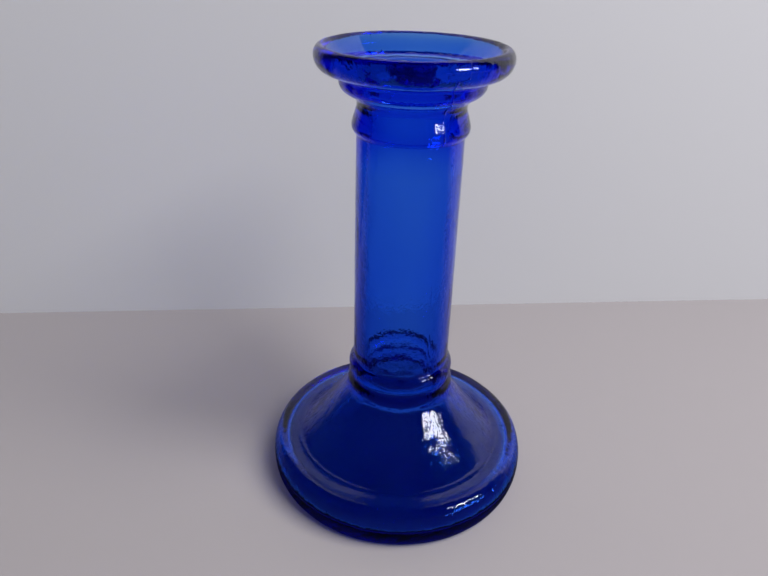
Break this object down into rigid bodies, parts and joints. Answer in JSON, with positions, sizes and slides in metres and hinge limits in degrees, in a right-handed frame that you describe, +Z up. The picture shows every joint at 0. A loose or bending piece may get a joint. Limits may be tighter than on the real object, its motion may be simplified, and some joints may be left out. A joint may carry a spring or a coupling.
{
  "type": "candlestick",
  "caption": "Hollow glass candlestick with a thick rim around a dished mouth, ringed neck, straight shaft, ringed collar and a conical foot with a rolled edge.",
  "frame": {"origin": "centre of the ring that the foot stands on, on the table", "axes": "+Z up along the candlestick's axis; the shape is a body of revolution, so +X and +Y are free"},
  "size_m": [0.1154, 0.1154, 0.19],
  "materials": {
    "cobalt_glass": "glossy cobalt blue glass with a rippled surface and two mould seams"
  },
  "bodies": {
    "root": {"rim": "cobalt_glass", "neck": "cobalt_glass", "shaft": "cobalt_glass", "collar": "cobalt_glass", "foot": "cobalt_glass", "base": "cobalt_glass"}
  },
  "joints": []
}
